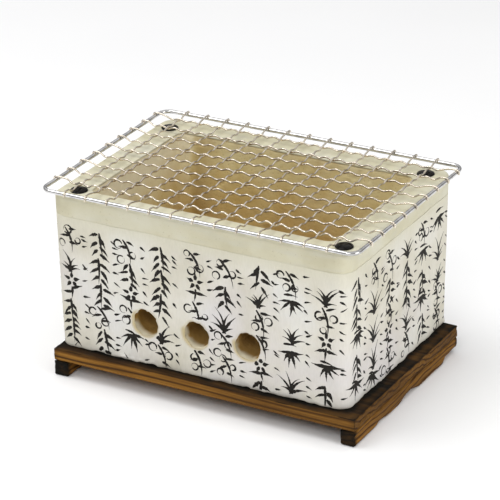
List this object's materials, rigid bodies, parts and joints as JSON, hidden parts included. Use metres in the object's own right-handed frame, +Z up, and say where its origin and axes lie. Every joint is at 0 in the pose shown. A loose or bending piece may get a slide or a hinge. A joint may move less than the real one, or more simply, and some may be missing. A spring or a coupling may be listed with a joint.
{
  "type": "hibachi grill",
  "caption": "Tabletop charcoal grill: thick-walled diatomite firebox with front air holes, pasted paper sides, woven wire net on top and a low wooden stand below.",
  "frame": {"origin": "on the ground, below the middle of the grill's bounding box", "axes": "+X to the right along the longest side, +Y to the back (air holes face -Y), +Z up"},
  "size_m": [0.2354, 0.166, 0.1349],
  "materials": {
    "scorched_wood": "brushed and scorched",
    "nail_steel": "dull",
    "diatomite": "matt, porous",
    "cream_coat": "matt",
    "pasted_paper": "matt, slightly wrinkled",
    "black_iron": "glossy",
    "grate_steel": "heat-tinted",
    "net_steel": "bright"
  },
  "bodies": {
    "stand": {"base_board": "scorched_wood", "left_cleat": "scorched_wood", "right_cleat": "scorched_wood", "cleat_nails": "nail_steel"},
    "firebox": {"firebox": "diatomite", "rim_coat": "cream_coat", "paper_wrap": "pasted_paper", "corner_studs": "black_iron"},
    "charcoal_grate": {"charcoal_grate": "grate_steel"},
    "grill_net": {"net_frame": "net_steel", "long_wire_01": "net_steel", "long_wire_02": "net_steel", "long_wire_03": "net_steel", "long_wire_04": "net_steel", "long_wire_05": "net_steel", "long_wire_06": "net_steel", "long_wire_07": "net_steel", "long_wire_08": "net_steel", "long_wire_09": "net_steel", "cross_wire_01": "net_steel", "cross_wire_02": "net_steel", "cross_wire_03": "net_steel", "cross_wire_04": "net_steel", "cross_wire_05": "net_steel", "cross_wire_06": "net_steel", "cross_wire_07": "net_steel", "cross_wire_08": "net_steel", "cross_wire_09": "net_steel", "cross_wire_10": "net_steel", "cross_wire_11": "net_steel", "cross_wire_12": "net_steel", "cross_wire_13": "net_steel"}
  },
  "joints": [
    {"name": "firebox_lift", "type": "slide", "parent": "stand", "child": "firebox", "axis": [0, 0, 1], "range_m": [0, 0.15]},
    {"name": "net_lift", "type": "slide", "parent": "firebox", "child": "grill_net", "axis": [0, 0, 1], "range_m": [0, 0.165]},
    {"name": "grate_lift", "type": "slide", "parent": "firebox", "child": "charcoal_grate", "axis": [0, 0, 1], "range_m": [0, 0.0908]}
  ],
  "couplings": [
    {"joint": "grate_lift", "follows": "net_lift", "ratio": 0.55}
  ]
}
